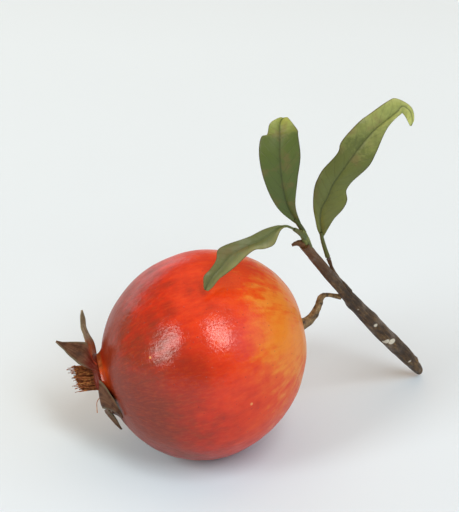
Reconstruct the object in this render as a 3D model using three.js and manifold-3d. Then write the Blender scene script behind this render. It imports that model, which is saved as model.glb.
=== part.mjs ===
// A picked pomegranate lying on its side, with its calyx crown, dry stamens, stalk, twig and three leaves.
// Units are millimetres and +Z is up. The origin is the middle of the flat spot that the fruit rests on.
// X runs along the length of the object, from the calyx (-X) to the cut end of the twig (+X).
import * as THREE from "three";
import { mergeVertices } from "three/addons/utils/BufferGeometryUtils.js";
import Module from "manifold-3d";

const wasm = await Module();
wasm.setup();

// Driving dimensions: the fruit

const FRUIT_RADIUS = 43.1;
const CENTRE_HEIGHT = 42.5; // a little under the radius, which leaves the flat spot it rests on
const AXIS_YAW = 9; // degrees that the calyx end is turned towards -Y
const AXIS_DIP = 14; // degrees that the calyx end points below the horizontal
// How the fruit differs from a ball: its heavier side, its slanting long axis and its faint three
// corners, as [order, share of the radius, degrees from the stalk end towards the top].
const LOPSIDED = [
  [1, 0.0073, 143.8],
  [2, 0.0255, 47.0],
  [3, 0.0073, 20.2],
];
const RIB_COUNT = 6; // the faint ridges that run from the calyx to the stalk, one for each sepal
const RIB_HEIGHT = 0.4;
const STALK_DIMPLE = { depth: 0.8, width: 0.2 }; // width in radians from the stalk end
const NECK = { radius: 15.2, waist: 12.9, top: 43.4, floorRadius: 10.4, floor: 42.2 };
const FRUIT_ROUND = 56;
const FRUIT_ALONG = 28;

// Driving dimensions: the calyx crown and stamens, measured in the fruit's own frame

const GAP = 0.3; // what separate pieces keep between them
const CROWN = { seat: NECK.top + GAP, rim: 45.5, outside: 13.6, inside: 10.2, wall: 2.2 };
const SEPAL_THICKNESS = 1.1;
const TUFT = { base: [1, 2.8, 42.4], tip: [1.4, 5.8, 54.0], baseRadius: 5.6, tipRadius: 5.2 };
const FILAMENTS = 46;
const FILAMENT_RADIUS = 0.34;

// Driving dimensions: the leaves

const LEAF_THICKNESS = 0.7;
const MIDRIB_THICKNESS = 0.7; // what the midrib adds on the back of a leaf

// Small tools

const V = (x, y, z) => new THREE.Vector3(x, y, z);
const radians = THREE.MathUtils.degToRad;

// A number that changes along a piece, drawn as a smooth line through rows of [place, value].
function smoothLine(rows) {
  const slope = (i) => {
    const a = rows[Math.max(i - 1, 0)];
    const b = rows[Math.min(i + 1, rows.length - 1)];
    return (b[1] - a[1]) / (b[0] - a[0]);
  };
  return (at) => {
    let i = 0;
    while (i < rows.length - 2 && at > rows[i + 1][0]) i += 1;
    const span = rows[i + 1][0] - rows[i][0];
    const t = THREE.MathUtils.clamp((at - rows[i][0]) / span, 0, 1);
    const [t2, t3] = [t * t, t * t * t];
    return (
      (2 * t3 - 3 * t2 + 1) * rows[i][1] +
      (t3 - 2 * t2 + t) * span * slope(i) +
      (3 * t2 - 2 * t3) * rows[i + 1][1] +
      (t3 - t2) * span * slope(i + 1)
    );
  };
}

// The same draw of numbers from 0 to 1 each time.
function seededDraw(seed) {
  let state = seed;
  return () => {
    state = (state * 16807) % 2147483647;
    return state / 2147483647;
  };
}

function solidFrom(geometry) {
  const bare = geometry.clone();
  bare.deleteAttribute("normal");
  bare.deleteAttribute("uv");
  const merged = mergeVertices(bare, 1e-4);
  return new wasm.Manifold(
    new wasm.Mesh({
      numProp: 3,
      vertProperties: new Float32Array(merged.attributes.position.array),
      triVerts: new Uint32Array(merged.index.array),
    }),
  );
}

function geometryFrom(solid) {
  const mesh = solid.getMesh();
  const geometry = new THREE.BufferGeometry();
  geometry.setAttribute("position", new THREE.BufferAttribute(mesh.vertProperties, 3));
  geometry.setIndex(new THREE.BufferAttribute(mesh.triVerts, 1));
  geometry.computeVertexNormals();
  return geometry;
}

// What is left of a solid once the crumbs of a cut are swept away.
function largestPiece(solid) {
  return geometryFrom(solid.decompose().sort((a, b) => b.volume() - a.volume())[0]);
}

// Moves every vertex of a geometry to where place() puts it.
function reshape(geometry, place) {
  const position = geometry.attributes.position;
  for (let i = 0; i < position.count; i += 1) {
    const moved = place(V().fromBufferAttribute(position, i));
    position.setXYZ(i, moved.x, moved.y, moved.z);
  }
  return geometry;
}

// Frames along a curve that turn no more than the curve does, starting from a wanted normal.
function framesAlong(curve, steps, normal) {
  const at = (t) => curve.getPoint(t);
  const frames = [];
  for (let i = 0; i <= steps; i += 1) {
    const t = i / steps;
    const tangent = at(Math.min(t + 1e-3, 1)).sub(at(Math.max(t - 1e-3, 0))).normalize();
    const last = frames[i - 1];
    const carried = last
      ? last.normal.clone().applyQuaternion(new THREE.Quaternion().setFromUnitVectors(last.tangent, tangent))
      : normal.clone();
    carried.addScaledVector(tangent, -carried.dot(tangent)).normalize();
    frames.push({ point: at(t), tangent, normal: carried });
  }
  return frames;
}

// A round limb that bends and tapers: rows of [x, y, z, radius].
function limb(rows, sides, steps, extra = 0, bump = () => 0) {
  const curve = new THREE.CatmullRomCurve3(rows.map(([x, y, z]) => V(x, y, z)));
  const radius = smoothLine(rows.map((row, i) => [i / (rows.length - 1), row[3]]));
  const frames = framesAlong(curve, steps, V(0.3, -1, 0.2));
  const tube = new THREE.CylinderGeometry(1, 1, 1, sides, steps);
  return reshape(tube, (p) => {
    const t = p.y + 0.5;
    const { point, tangent, normal } = frames[Math.round(t * steps)];
    const across = normal.clone().cross(tangent);
    const r = radius(t) + extra + bump(t, Math.atan2(p.z, p.x));
    const end = t === 0 ? -extra : t === 1 ? extra : 0;
    return point
      .clone()
      .addScaledVector(normal, p.x * r)
      .addScaledVector(across, p.z * r)
      .addScaledVector(tangent, end);
  });
}

// A thin sheet made solid: both faces share one grid and are split into triangles alike.
// place(u, v) gives the middle point, the normal and the thickness in front of and behind it.
function thickSheet(across, along, place) {
  const grid = new THREE.PlaneGeometry(2, 1, across, along);
  const count = grid.attributes.position.count;
  const positions = new Float32Array(count * 6);
  for (let i = 0; i < count; i += 1) {
    const u = grid.attributes.position.getX(i);
    const v = grid.attributes.position.getY(i) + 0.5;
    const { point, normal, front, back } = place(u, v);
    point.clone().addScaledVector(normal, front).toArray(positions, i * 3);
    point.clone().addScaledVector(normal, -back).toArray(positions, (count + i) * 3);
  }
  const faces = Array.from(grid.index.array);
  const index = [...faces];
  for (let i = 0; i < faces.length; i += 3) {
    index.push(count + faces[i], count + faces[i + 2], count + faces[i + 1]);
  }
  const row = across + 1;
  const rim = [];
  for (let i = 0; i < across; i += 1) rim.push([i + 1, i], [row * along + i, row * along + i + 1]);
  for (let j = 0; j < along; j += 1) {
    rim.push([row * j, row * (j + 1)], [row * (j + 1) + across, row * j + across]);
  }
  for (const [a, b] of rim) index.push(b, a, count + a, b, count + a, count + b);
  const sheet = new THREE.BufferGeometry();
  sheet.setAttribute("position", new THREE.BufferAttribute(positions, 3));
  sheet.setIndex(index);
  return sheet;
}

// A leaf blade or sepal, drawn by rows of three points across it: its left edge, its midrib and its
// right edge. bow lifts each half between midrib and edge, and wave ripples both towards their edges.
function blade(form) {
  const { rows, across, along, thickness, bow = () => 0, wave = () => 0, ridge = 0 } = form;
  const [left, midrib, right] = [0, 1, 2].map(
    (side) => new THREE.CatmullRomCurve3(rows.map((row) => V(...row[side]))),
  );
  const faceAt = (v) => {
    const inside = THREE.MathUtils.clamp(v, 0.04, 0.96);
    const forward = midrib.getPoint(inside + 0.02).sub(midrib.getPoint(inside - 0.02));
    return right.getPoint(inside).sub(left.getPoint(inside)).cross(forward).normalize();
  };
  const middle = (u, v) => {
    const edge = (u < 0 ? left : right).getPoint(v);
    const lift = bow(v) * 4 * Math.abs(u) * (1 - Math.abs(u)) + wave(u, v) * u * u;
    return midrib.getPoint(v).lerp(edge, Math.abs(u)).addScaledVector(faceAt(v), lift);
  };
  return thickSheet(across, along, (u, v) => {
    const [du, dv] = [1 / across, 0.5 / along];
    const forward = middle(u, Math.min(v + dv, 1)).sub(middle(u, Math.max(v - dv, 0)));
    const sideways = middle(Math.min(u + du, 1), v).sub(middle(Math.max(u - du, -1), v));
    const normal = sideways.cross(forward).normalize();
    const back = thickness / 2 + ridge * Math.max(0, 1 - 3 * Math.abs(u)) * (1 - 0.8 * v);
    return { point: middle(u, v), normal, front: thickness / 2, back };
  });
}

// The fruit's own frame: X is the side it shows to the front, Y its top and Z the calyx end

function fruitFrame() {
  const [yaw, dip] = [radians(AXIS_YAW), radians(AXIS_DIP)];
  const out = V(-Math.cos(dip) * Math.cos(yaw), -Math.cos(dip) * Math.sin(yaw), -Math.sin(dip));
  const near = V(0, -Math.cos(radians(30)), Math.sin(radians(30)));
  near.addScaledVector(out, -near.dot(out)).normalize();
  const up = out.clone().cross(near);
  return new THREE.Matrix4().makeBasis(near, up, out).setPosition(0, 0, CENTRE_HEIGHT);
}

// How the fruit grew: slightly lopsided, with faint ribs that fade out at both ends.
function grown(p) {
  const length = p.length();
  if (length === 0) return p;
  const dir = p.clone().divideScalar(length);
  const turn = Math.atan2(dir.y, -dir.z);
  const aside = Math.hypot(dir.y, dir.z);
  const lopsided = LOPSIDED.reduce(
    (sum, [order, share, at]) => sum + share * aside ** order * Math.cos(order * (turn - radians(at))),
    0,
  );
  const fromAxis = Math.hypot(dir.x, dir.y);
  const ribs = RIB_HEIGHT * Math.cos(RIB_COUNT * Math.atan2(dir.y, dir.x) - 0.6) * fromAxis ** 4;
  return dir.multiplyScalar(length * (1 + lopsided) + ribs);
}

// The rind in profile, [distance from the axis, place along it], from the stalk end to the calyx.
function rindProfile(extra) {
  const profile = [];
  const neckAngle = Math.asin(NECK.radius / FRUIT_RADIUS);
  for (let i = 0; i <= FRUIT_ALONG; i += 1) {
    const angle = Math.PI + ((neckAngle - Math.PI) * i) / FRUIT_ALONG;
    const dimple = STALK_DIMPLE.depth * Math.exp(-(((Math.PI - angle) / STALK_DIMPLE.width) ** 2));
    const r = FRUIT_RADIUS + extra - dimple;
    profile.push([i === 0 ? 0 : r * Math.sin(angle), r * Math.cos(angle)]);
  }
  const foot = profile.at(-1);
  const top = NECK.top + extra;
  const rise = top - foot[1];
  for (const share of [0.25, 0.5, 0.75, 1]) {
    const waist = (1 - share) ** 2.2;
    profile.push([NECK.waist + extra + (foot[0] - NECK.waist - extra) * waist, foot[1] + rise * share]);
  }
  const cup = NECK.floorRadius - extra;
  profile.push([cup + 0.6, top - 0.1], [cup, NECK.floor + extra], [0, NECK.floor + extra]);
  return profile;
}

function rind(extra = 0) {
  const points = rindProfile(extra).map(([r, z]) => new THREE.Vector2(r, z));
  const lathe = new THREE.LatheGeometry(points, FRUIT_ROUND).rotateX(Math.PI / 2);
  return reshape(lathe, grown);
}

// The rind, cut flat where the fruit lies on the surface.
function fruitGeometry(frame) {
  const cutter = new THREE.BoxGeometry(120, 120, 20).translate(0, 0, -10);
  cutter.applyMatrix4(frame.clone().invert());
  return geometryFrom(solidFrom(rind()).subtract(solidFrom(cutter)));
}

// Each sepal in rows of left edge, midrib and right edge, as [front, top, out] in the fruit's frame,
// from its root in the crown to its tip.
const SEPAL_TOP_FRONT = [
  [[11.8, 5.4, 43.2], [11.0, 7.4, 43.2], [9.8, 9.2, 43.2]],
  [[11.5, 7.0, 44.6], [10.0, 9.3, 44.4], [8.2, 11.2, 44.2]],
  [[12.2, 9.2, 47.2], [10.4, 12.8, 46.0], [7.6, 15.2, 44.6]],
  [[12.0, 11.4, 49.8], [10.2, 15.4, 48.0], [6.2, 18.4, 44.9]],
  [[11.8, 13.6, 51.3], [10.3, 17.0, 49.8], [6.8, 19.6, 47.4]],
  [[11.5, 16.8, 53.2], [10.5, 19.2, 52.3], [8.2, 20.7, 50.6]],
  [[11.1, 20.0, 54.9], [10.6, 21.2, 54.6], [9.6, 21.8, 53.9]],
  [[10.8, 22.6, 56.3], [10.6, 22.8, 56.3], [10.4, 22.9, 56.2]],
];
const SEPAL_TOP = [
  [[8.0, 8.6, 44.5], [2.0, 11.2, 44.2], [-5.0, 9.8, 44.0]],
  [[7.4, 12.2, 44.8], [1.4, 13.6, 44.3], [-6.4, 12.4, 43.4]],
  [[5.6, 15.8, 45.3], [0.2, 16.4, 44.4], [-6.4, 15.6, 43.0]],
  [[3.8, 18.9, 45.2], [-1.2, 19.2, 44.4], [-6.0, 18.2, 43.0]],
  [[1.4, 22.2, 45.4], [-2.2, 22.4, 44.9], [-6.0, 21.4, 43.9]],
  [[-0.6, 25.4, 45.4], [-3.0, 25.4, 44.9], [-5.4, 24.8, 44.1]],
  [[-2.6, 29.0, 44.8], [-3.7, 29.0, 44.2], [-4.8, 28.4, 43.3]],
  [[-3.8, 31.7, 43.6], [-4.0, 31.8, 43.5], [-4.2, 31.7, 43.4]],
];
const SEPAL_BOTTOM_FRONT = [
  [[9.4, -8.0, 44.6], [11.4, -3.2, 44.6], [11.9, 1.8, 44.2]],
  [[11.4, -8.6, 45.6], [13.0, -2.8, 45.2], [12.8, 2.6, 43.6]],
  [[13.4, -9.0, 44.6], [14.4, -4.6, 43.6], [14.6, -0.4, 41.9]],
  [[14.2, -10.0, 42.6], [15.6, -7.0, 41.9], [16.0, -3.9, 40.8]],
  [[14.8, -11.2, 41.2], [16.0, -9.0, 40.7], [16.5, -6.6, 39.9]],
  [[15.2, -12.3, 40.1], [16.0, -10.9, 39.9], [16.4, -9.2, 39.5]],
  [[15.4, -13.3, 39.4], [15.8, -12.6, 39.2], [16.0, -11.8, 39.0]],
  [[15.4, -14.3, 38.8], [15.4, -14.2, 38.8], [15.5, -14.1, 38.8]],
];
const SEPAL_BOTTOM = [
  [[-2.6, -10.4, 44.9], [1.6, -11.0, 44.7], [6.0, -9.6, 44.4]],
  [[-1.6, -10.6, 46.0], [2.4, -11.4, 45.0], [6.0, -10.8, 43.9]],
  [[0.6, -12.2, 45.4], [3.0, -12.9, 44.2], [5.2, -13.0, 42.9]],
  [[1.6, -14.4, 44.4], [3.2, -14.8, 43.4], [4.4, -14.8, 42.2]],
  [[2.1, -17.0, 43.1], [2.8, -17.3, 42.4], [3.5, -17.3, 41.7]],
  [[2.3, -19.4, 41.5], [2.5, -19.5, 41.4], [2.7, -19.5, 41.2]],
];
// The two sepals on the far side are like the ones seen, turned round the crown by degrees.
const SEPALS = [
  { rows: SEPAL_TOP_FRONT, turn: 0 },
  { rows: SEPAL_TOP, turn: 0 },
  { rows: SEPAL_TOP, turn: 62 },
  { rows: SEPAL_BOTTOM, turn: -56 },
  { rows: SEPAL_BOTTOM, turn: 0 },
  { rows: SEPAL_BOTTOM_FRONT, turn: 0 },
];

function sepal({ rows, turn }) {
  const sheet = blade({ rows, across: 6, along: 12, thickness: SEPAL_THICKNESS, bow: () => -0.3 });
  return sheet.rotateZ(radians(turn));
}

// The short tube of the calyx with its six sepals, joined in one solid.
function calyxGeometry() {
  const { seat, rim, outside, inside, wall } = CROWN;
  const ring = [
    [inside, seat],
    [NECK.waist, seat],
    [outside - 0.3, (seat + rim) / 2],
    [outside, rim],
    [outside - wall * 0.6, rim + 0.3],
    [inside + 0.8, (seat + rim) / 2],
    [inside, seat],
  ].map(([r, z]) => new THREE.Vector2(r, z));
  const tube = new THREE.LatheGeometry(ring, 36).rotateX(Math.PI / 2);
  let crown = solidFrom(reshape(tube, grown));
  for (const form of SEPALS) crown = crown.add(solidFrom(sepal(form)));
  return largestPiece(crown.subtract(solidFrom(rind(GAP))));
}

// The dry stamens: a brush of filaments that stand out of a slim core.
function stamensGeometry() {
  const draw = seededDraw(2017);
  const [base, tip] = [V(...TUFT.base), V(...TUFT.tip)];
  const centre = (t) => base.clone().lerp(tip, t);
  const spread = (t) => THREE.MathUtils.lerp(TUFT.baseRadius, TUFT.tipRadius, t);
  const coreRow = (t, share) => [...centre(t).toArray(), spread(t) * share];
  const core = [coreRow(0, 0.9), coreRow(0.4, 0.86), coreRow(0.78, 0.72), coreRow(0.86, 0.3)];
  let tuft = solidFrom(limb(core, 12, 6));
  for (let i = 0; i < FILAMENTS; i += 1) {
    const turn = i * 2.39996;
    const share = 0.25 + 0.73 * Math.sqrt((i + 0.5) / FILAMENTS);
    const reach = 0.84 + 0.2 * draw() - 0.08 * share ** 2;
    const lean = 0.25 * (draw() - 0.5);
    const rows = [0.02, 0.4, 0.75, 1].map((step) => {
      const t = step * reach;
      const angle = turn + lean * step * 2;
      const out = spread(t) * share * (1 + 0.1 * step * (draw() - 0.3));
      const p = centre(t).add(V(Math.cos(angle) * out, Math.sin(angle) * out, 0));
      return [p.x, p.y, p.z, FILAMENT_RADIUS * (1.15 - 0.25 * step)];
    });
    tuft = tuft.add(solidFrom(limb(rows, 3, 3)));
  }
  return largestPiece(tuft.subtract(solidFrom(rind(GAP))));
}

// The twig, stalk and shoot tip, as rows of [x, y, z, radius] from the top end downwards

const TWIG = [
  [39.8, -1.2, 94.9, 2.1],
  [46.0, 5.8, 82.9, 2.2],
  [55.4, 14.8, 66.0, 2.4],
  [65.4, 23.8, 49.1, 3.1],
  [76.6, 33.1, 31.1, 3.5],
  [86.9, 41.2, 15.4, 3.25],
  [91.0, 44.6, 8.6, 2.75],
  [93.7, 47.0, 3.7, 2.0],
  [94.5, 47.7, 2.0, 1.2],
];
const TORN_BARK = [
  [41.6, 0.6, 92.4, 1.8],
  [38.8, -0.8, 95.2, 1.6],
  [36.8, -1.4, 95.8, 1.1],
  [34.8, -1.8, 95.0, 0.55],
];
const SPUR = [
  [59.2, 17.6, 61.6, 1.9],
  [56.8, 15.4, 66.4, 1.5],
  [54.3, 13.5, 70.9, 1.0],
  [51.8, 12.4, 76.6, 0.75],
  [50.4, 12.0, 81.0, 0.95],
];
const STALK = [
  [38.5, 7.0, 51.6, 2.6],
  [43.5, 10.2, 53.1, 2.0],
  [45.6, 12.0, 55.4, 1.8],
  [47.0, 13.8, 58.0, 1.5],
  [47.9, 15.0, 60.5, 1.4],
  [49.2, 15.8, 61.2, 1.15],
  [51.2, 16.7, 60.8, 0.9],
  [56.3, 18.4, 58.9, 1.2],
];
const SHOOT_TIP = [
  [41.6, 0.6, 92.6, 1.7],
  [40.5, -0.5, 96.4, 1.6],
  [39.4, -1.1, 99.4, 1.5],
  [38.4, -1.5, 101.5, 1.1],
];
// Where the bark swells round an old bud, as [share of the twig, side in radians, height].
const BUD_SCARS = [
  [0.22, 0.4, 0.55],
  [0.29, 3.4, 0.6],
  [0.33, 4.6, 0.7],
  [0.42, 1.2, 0.4],
  [0.54, 2.4, 0.35],
  [0.72, 1.4, 0.5],
];
const BUD_LENGTH = 0.018; // share of the twig

function barkBumps(t, side) {
  const scars = BUD_SCARS.map(([at, facing, height]) => {
    const apart = Math.cos(side - facing);
    return height * Math.exp(-(((t - at) / BUD_LENGTH) ** 2)) * Math.max(0, apart) ** 2;
  });
  return scars.reduce((sum, one) => sum + one, 0) + 0.08 * Math.sin(2 * side + 40 * t);
}

// The woody twig, with the torn strip of bark at its top end and the spur that carries the tall leaf.
function twigSolid(extra = 0) {
  const stem = solidFrom(limb(TWIG, 14, 52, extra, barkBumps));
  const torn = solidFrom(limb(TORN_BARK, 8, 8, extra));
  const spur = solidFrom(limb(SPUR, 8, 14, extra));
  return stem.add(torn).add(spur);
}

function stalkGeometry(frame) {
  const fruit = solidFrom(rind(GAP).applyMatrix4(frame));
  return largestPiece(solidFrom(limb(STALK, 10, 26)).subtract(fruit).subtract(twigSolid(GAP)));
}

function shootTipSolid(extra = 0) {
  return solidFrom(limb(SHOOT_TIP, 10, 8, extra)).subtract(twigSolid(GAP - extra));
}

// The leaves. Each has a petiole in rows of [x, y, z, radius], and a blade in rows of left edge,
// midrib and right edge from its base to its tip.

const LEAVES = {
  leaf_upright: {
    petiole: [
      [39.7, 0.3, 99.2, 0.95],
      [38.9, -0.1, 101.2, 0.85],
      [37.4, -0.6, 104.0, 0.75],
      [35.6, -1.0, 106.6, 0.5],
    ],
    rows: [
      [[37.5, -0.5, 103.0], [38.0, -0.5, 103.0], [38.5, -0.5, 103.5]],
      [[29.0, -3.0, 112.5], [33.0, -2.0, 112.5], [36.0, -2.5, 113.0]],
      [[23.5, -4.5, 125.5], [30.5, -3.0, 124.5], [36.5, -3.5, 125.0]],
      [[21.5, -3.0, 136.0], [29.5, -2.0, 135.5], [37.5, -2.0, 135.0]],
      [[22.5, 0.5, 142.0], [29.5, 1.0, 142.0], [36.5, 0.0, 143.0]],
      [[24.5, 1.0, 142.5], [29.5, 2.0, 143.0], [36.5, 1.0, 144.0]],
      [[25.5, 3.0, 146.0], [29.5, 3.5, 145.5], [35.0, 3.0, 145.5]],
      [[28.0, 4.5, 147.5], [30.0, 5.0, 146.5], [33.5, 4.5, 147.0]],
      [[30.0, 6.0, 147.5], [31.0, 6.0, 147.5], [32.5, 6.0, 147.5]],
    ],
    bow: (v) => 0.5 * Math.sin(Math.PI * v),
    wave: (u, v) => 0.5 * Math.sin(9 * v + (u < 0 ? 0 : 2)) * Math.sin(Math.PI * v),
  },
  leaf_drooping: {
    petiole: [
      [39.9, -2.5, 98.7, 0.9],
      [39.0, -3.2, 100.2, 0.85],
      [37.4, -3.8, 102.2, 0.8],
      [35.4, -4.4, 103.9, 0.6],
    ],
    rows: [
      [[38.5, -3.5, 100.0], [38.0, -3.5, 101.5], [37.5, -3.5, 102.5]],
      [[33.0, -5.0, 105.0], [33.0, -5.0, 105.5], [32.5, -5.0, 105.5]],
      [[30.5, -6.0, 104.5], [30.0, -5.0, 105.0], [29.0, -4.5, 105.5]],
      [[27.5, -9.0, 99.5], [25.0, -7.0, 102.0], [23.5, -5.0, 104.0]],
      [[24.0, -10.5, 98.5], [22.0, -8.0, 100.5], [20.0, -6.0, 102.5]],
      [[20.5, -11.0, 98.5], [18.5, -9.0, 99.5], [16.5, -7.0, 101.0]],
      [[15.5, -13.5, 95.5], [12.0, -12.0, 97.5], [8.0, -10.0, 99.5]],
      [[12.5, -15.0, 93.0], [9.5, -13.0, 95.5], [5.5, -11.5, 98.5]],
      [[9.0, -16.0, 90.5], [7.0, -15.0, 93.0], [5.0, -13.5, 95.5]],
      [[6.0, -17.0, 88.5], [4.0, -16.5, 90.0], [2.5, -15.5, 92.0]],
      [[3.5, -18.0, 85.5], [2.0, -18.0, 87.5], [0.0, -17.5, 90.0]],
      [[1.5, -19.5, 84.5], [0.5, -19.5, 85.0], [0.0, -19.5, 86.0]],
    ],
    bow: () => 0.2,
    wave: (u, v) => 0.4 * Math.sin(13 * v + (u < 0 ? 0 : 1.6)) * Math.sin(Math.PI * v),
  },
  leaf_tall: {
    petiole: [
      [50.1, 12.0, 81.6, 0.85],
      [49.3, 12.2, 84.0, 0.72],
      [47.9, 12.1, 88.8, 0.64],
      [46.9, 11.7, 93.6, 0.5],
    ],
    rows: [
      [[47.0, 12.0, 91.0], [47.5, 12.0, 91.0], [48.0, 12.0, 91.0]],
      [[45.5, 11.5, 95.0], [47.0, 11.5, 95.0], [49.5, 11.0, 95.0]],
      [[44.5, 11.0, 100.0], [46.5, 11.0, 99.5], [52.0, 10.0, 100.5]],
      [[43.5, 10.0, 106.0], [47.0, 11.0, 105.0], [55.5, 9.5, 105.5]],
      [[43.5, 9.5, 112.0], [49.0, 11.0, 109.5], [57.0, 10.5, 109.0]],
      [[44.5, 10.0, 117.5], [51.0, 11.5, 115.0], [56.5, 12.0, 112.5]],
      [[46.5, 12.0, 121.0], [53.5, 12.0, 119.0], [58.5, 12.5, 115.5]],
      [[53.0, 15.0, 128.0], [59.0, 14.5, 126.5], [65.5, 13.0, 123.0]],
      [[54.0, 15.0, 132.0], [61.5, 16.0, 129.5], [68.0, 14.5, 127.5]],
      [[60.5, 17.0, 139.5], [67.0, 18.5, 135.5], [71.5, 18.5, 135.0]],
      [[64.5, 19.0, 142.0], [70.5, 20.0, 138.0], [74.0, 20.0, 138.5]],
      [[72.5, 22.0, 147.0], [76.5, 22.0, 142.5], [78.0, 22.0, 141.5]],
      [[75.5, 23.5, 147.5], [78.5, 22.5, 144.5], [78.5, 22.5, 141.5]],
      [[82.0, 23.0, 143.5], [81.5, 22.0, 142.5], [80.0, 21.5, 140.0]],
      [[83.0, 21.0, 139.0], [82.5, 20.5, 138.5], [81.0, 20.0, 138.0]],
      [[82.0, 20.0, 137.0], [82.0, 20.0, 137.0], [81.5, 20.0, 137.0]],
    ],
    bow: (v) => 0.5 * Math.sin(Math.PI * v),
    wave: (u, v) => 0.5 * Math.sin(17 * v + (u < 0 ? 0.4 : 3)) * Math.sin(Math.PI * v),
  },
};

function leafGeometry(form, neighbours) {
  const { petiole, ...shape } = form;
  const sheet = blade({ ...shape, across: 8, along: 30, thickness: LEAF_THICKNESS, ridge: MIDRIB_THICKNESS });
  let leaf = solidFrom(sheet).add(solidFrom(limb(petiole, 8, 10)));
  for (const neighbour of neighbours) leaf = leaf.subtract(neighbour);
  return largestPiece(leaf);
}

// Materials, as the eye sees each piece

const finish = (color, roughness) => new THREE.MeshStandardMaterial({ color, roughness, metalness: 0 });
const RIND = finish(0xc8392a, 0.32);
const DRY_SEPAL = finish(0x6b5a50, 0.6);
const DRY_STAMEN = finish(0x96502a, 0.85);
const BARK = finish(0x5c4636, 0.7);
const STALK_SKIN = finish(0x7d6647, 0.65);
const GREEN_SKIN = finish(0x5d6438, 0.55);
const LEAF = finish(0x66723c, 0.5);

function mesh(name, geometry, material) {
  const made = new THREE.Mesh(geometry, material);
  made.name = name;
  return made;
}

// The assembly

const frame = fruitFrame();
const fruitGroup = new THREE.Group();
fruitGroup.applyMatrix4(frame);
fruitGroup.add(
  mesh("fruit", fruitGeometry(frame), RIND),
  mesh("calyx", calyxGeometry(), DRY_SEPAL),
  mesh("stamens", stamensGeometry(), DRY_STAMEN),
);

const sprig = new THREE.Group();
const nearby = [shootTipSolid(GAP), twigSolid(GAP), solidFrom(rind(GAP).applyMatrix4(frame))];
sprig.add(
  mesh("twig", geometryFrom(twigSolid()), BARK),
  mesh("fruit_stalk", stalkGeometry(frame), STALK_SKIN),
  mesh("shoot_tip", largestPiece(shootTipSolid()), GREEN_SKIN),
);
for (const [name, form] of Object.entries(LEAVES)) sprig.add(mesh(name, leafGeometry(form, nearby), LEAF));

const pomegranate = new THREE.Group();
pomegranate.add(fruitGroup, sprig);

export default pomegranate;
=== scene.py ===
# %% [markdown]
# A pomegranate on its twig
#
# A ripe pomegranate lies on its side. Its rind is thick, waxy and a little lopsided, with a crown of
# six dry sepals at one end and a short curved stalk at the other. The stalk still holds a piece of
# woody twig with three leaves. The CAD solids give every piece its place and size, and this lesson
# makes a finer piece for each of them, with the finish that the real one has.

# %% Load the solids
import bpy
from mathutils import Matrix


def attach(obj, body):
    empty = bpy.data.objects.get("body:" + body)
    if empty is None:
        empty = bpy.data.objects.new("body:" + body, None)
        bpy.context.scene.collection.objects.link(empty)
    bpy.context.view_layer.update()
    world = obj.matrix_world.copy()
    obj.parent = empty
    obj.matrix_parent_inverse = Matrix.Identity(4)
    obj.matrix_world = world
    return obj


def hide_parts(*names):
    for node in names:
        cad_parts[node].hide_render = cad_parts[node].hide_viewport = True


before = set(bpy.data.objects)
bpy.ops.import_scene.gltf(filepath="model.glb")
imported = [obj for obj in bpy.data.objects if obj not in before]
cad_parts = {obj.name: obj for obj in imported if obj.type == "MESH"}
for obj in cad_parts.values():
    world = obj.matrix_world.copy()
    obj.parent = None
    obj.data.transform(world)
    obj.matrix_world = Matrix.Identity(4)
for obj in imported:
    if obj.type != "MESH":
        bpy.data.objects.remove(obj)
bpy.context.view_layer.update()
print("pieces in the frame:", ", ".join(sorted(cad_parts)))

# %% Modules and units
import math
import random

import bmesh
import bpy
from mathutils import Matrix, Vector, noise

MM = 0.001
scene = bpy.context.scene
scene.view_settings.view_transform = "Standard"

# %% [markdown]
# The camera comes first, so that every look at the work is from the same place. The picture is taken
# with a long lens from about 80 cm away, looking down by 30 degrees.

# %% Camera
CAMERA_PLACE = (10.08, -663.96, 472.44)
LOOKING_DOWN = 30

camera = bpy.data.objects.new("camera", bpy.data.cameras.new("camera"))
camera.data.lens = 135
camera.location = Vector(CAMERA_PLACE) * MM
camera.rotation_euler = (math.radians(90 - LOOKING_DOWN), 0, 0)
camera.data.clip_end = 20
scene.collection.objects.link(camera)
scene.camera = camera
print("camera", round(camera.location.length, 3), "m from the fruit's resting spot")

# %% [markdown]
# Blades and limbs
#
# Two shapes make nearly everything but the fruit. A limb is a round stem that bends and tapers: a ring of
# points is extruded step by step along a smooth line. A blade is a leaf or a sepal: a flat grid is
# laid between its left edge, its midrib and its right edge. A curve with a bevel could make a limb too,
# and a blade could be sculpted. Points that are set in code give bumps where they are wanted, and the
# smooth lines run through the same points as in the solids, so the finer pieces keep their form.


# %% A smooth line through points
def smooth_point(points, share):
    """The point at that share of a smooth line, which slows down where its points lie close."""
    last = len(points) - 1
    i = min(int(share * last), last - 1)
    w = share * last - i
    b, c = Vector(points[i]), Vector(points[i + 1])
    a = Vector(points[i - 1]) if i > 0 else 2 * b - c
    d = Vector(points[i + 2]) if i + 2 <= last else 2 * c - b
    gap = [max((q - p).length, 1e-4) ** 0.5 for p, q in ((a, b), (b, c), (c, d))]
    leave = (b - a) / gap[0] - (c - a) / (gap[0] + gap[1]) + (c - b) / gap[1]
    arrive = (c - b) / gap[1] - (d - b) / (gap[1] + gap[2]) + (d - c) / gap[2]
    leave, arrive = leave * gap[1], arrive * gap[1]
    return (
        b
        + leave * w
        + (-3 * b + 3 * c - 2 * leave - arrive) * w**2
        + (2 * b - 2 * c + leave + arrive) * w**3
    )


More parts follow.
